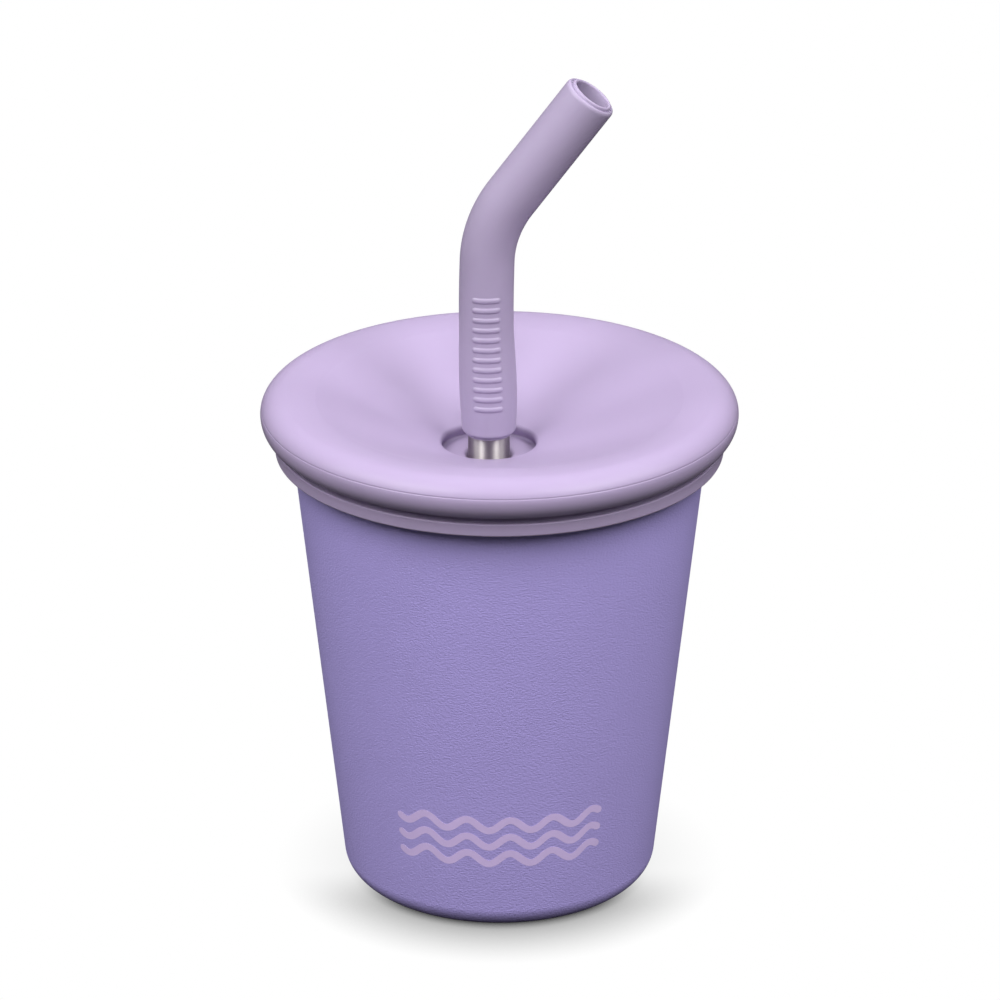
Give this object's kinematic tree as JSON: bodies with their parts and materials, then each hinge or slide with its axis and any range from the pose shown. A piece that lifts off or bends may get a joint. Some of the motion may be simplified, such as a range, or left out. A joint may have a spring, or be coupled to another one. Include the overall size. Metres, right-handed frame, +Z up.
{
  "type": "kids straw tumbler",
  "caption": "Tapered steel kids' tumbler with a powder coat, a dished silicone lid, and a steel straw that ends in a bent silicone tip.",
  "frame": {"origin": "middle of the base, on the plane that the cup stands on", "axes": "+Z up along the cup's axis, +X towards the side that the straw's tip bends to"},
  "size_m": [0.091, 0.091, 0.1624],
  "materials": {
    "bare_steel": "satin brushed, turned round the cup's axis",
    "powder_coat": "satin powder coat with a fine orange-peel texture",
    "lid_silicone": "satin silicone",
    "brushed_tube": "fine brushed, satin",
    "tip_silicone": "matte silicone"
  },
  "bodies": {
    "tumbler": {"cup": "bare_steel", "powder_coat": "powder_coat"},
    "lid": {"lid": "lid_silicone"},
    "straw": {"straw_tube": "brushed_tube"},
    "tip": {"straw_tip": "tip_silicone"}
  },
  "joints": [
    {"name": "lid_lift", "type": "slide", "parent": "tumbler", "child": "lid", "axis": [0, 0, 1], "range_m": [0, 0.12]},
    {"name": "straw_slide", "type": "slide", "parent": "lid", "child": "straw", "axis": [0, 0, 1], "range_m": [-0.0032, 0.075]},
    {"name": "tip_swivel", "type": "hinge", "parent": "straw", "child": "tip", "pos_m": [-0.002, 0, 0.1], "axis": [0, 0, 1], "continuous": true}
  ]
}
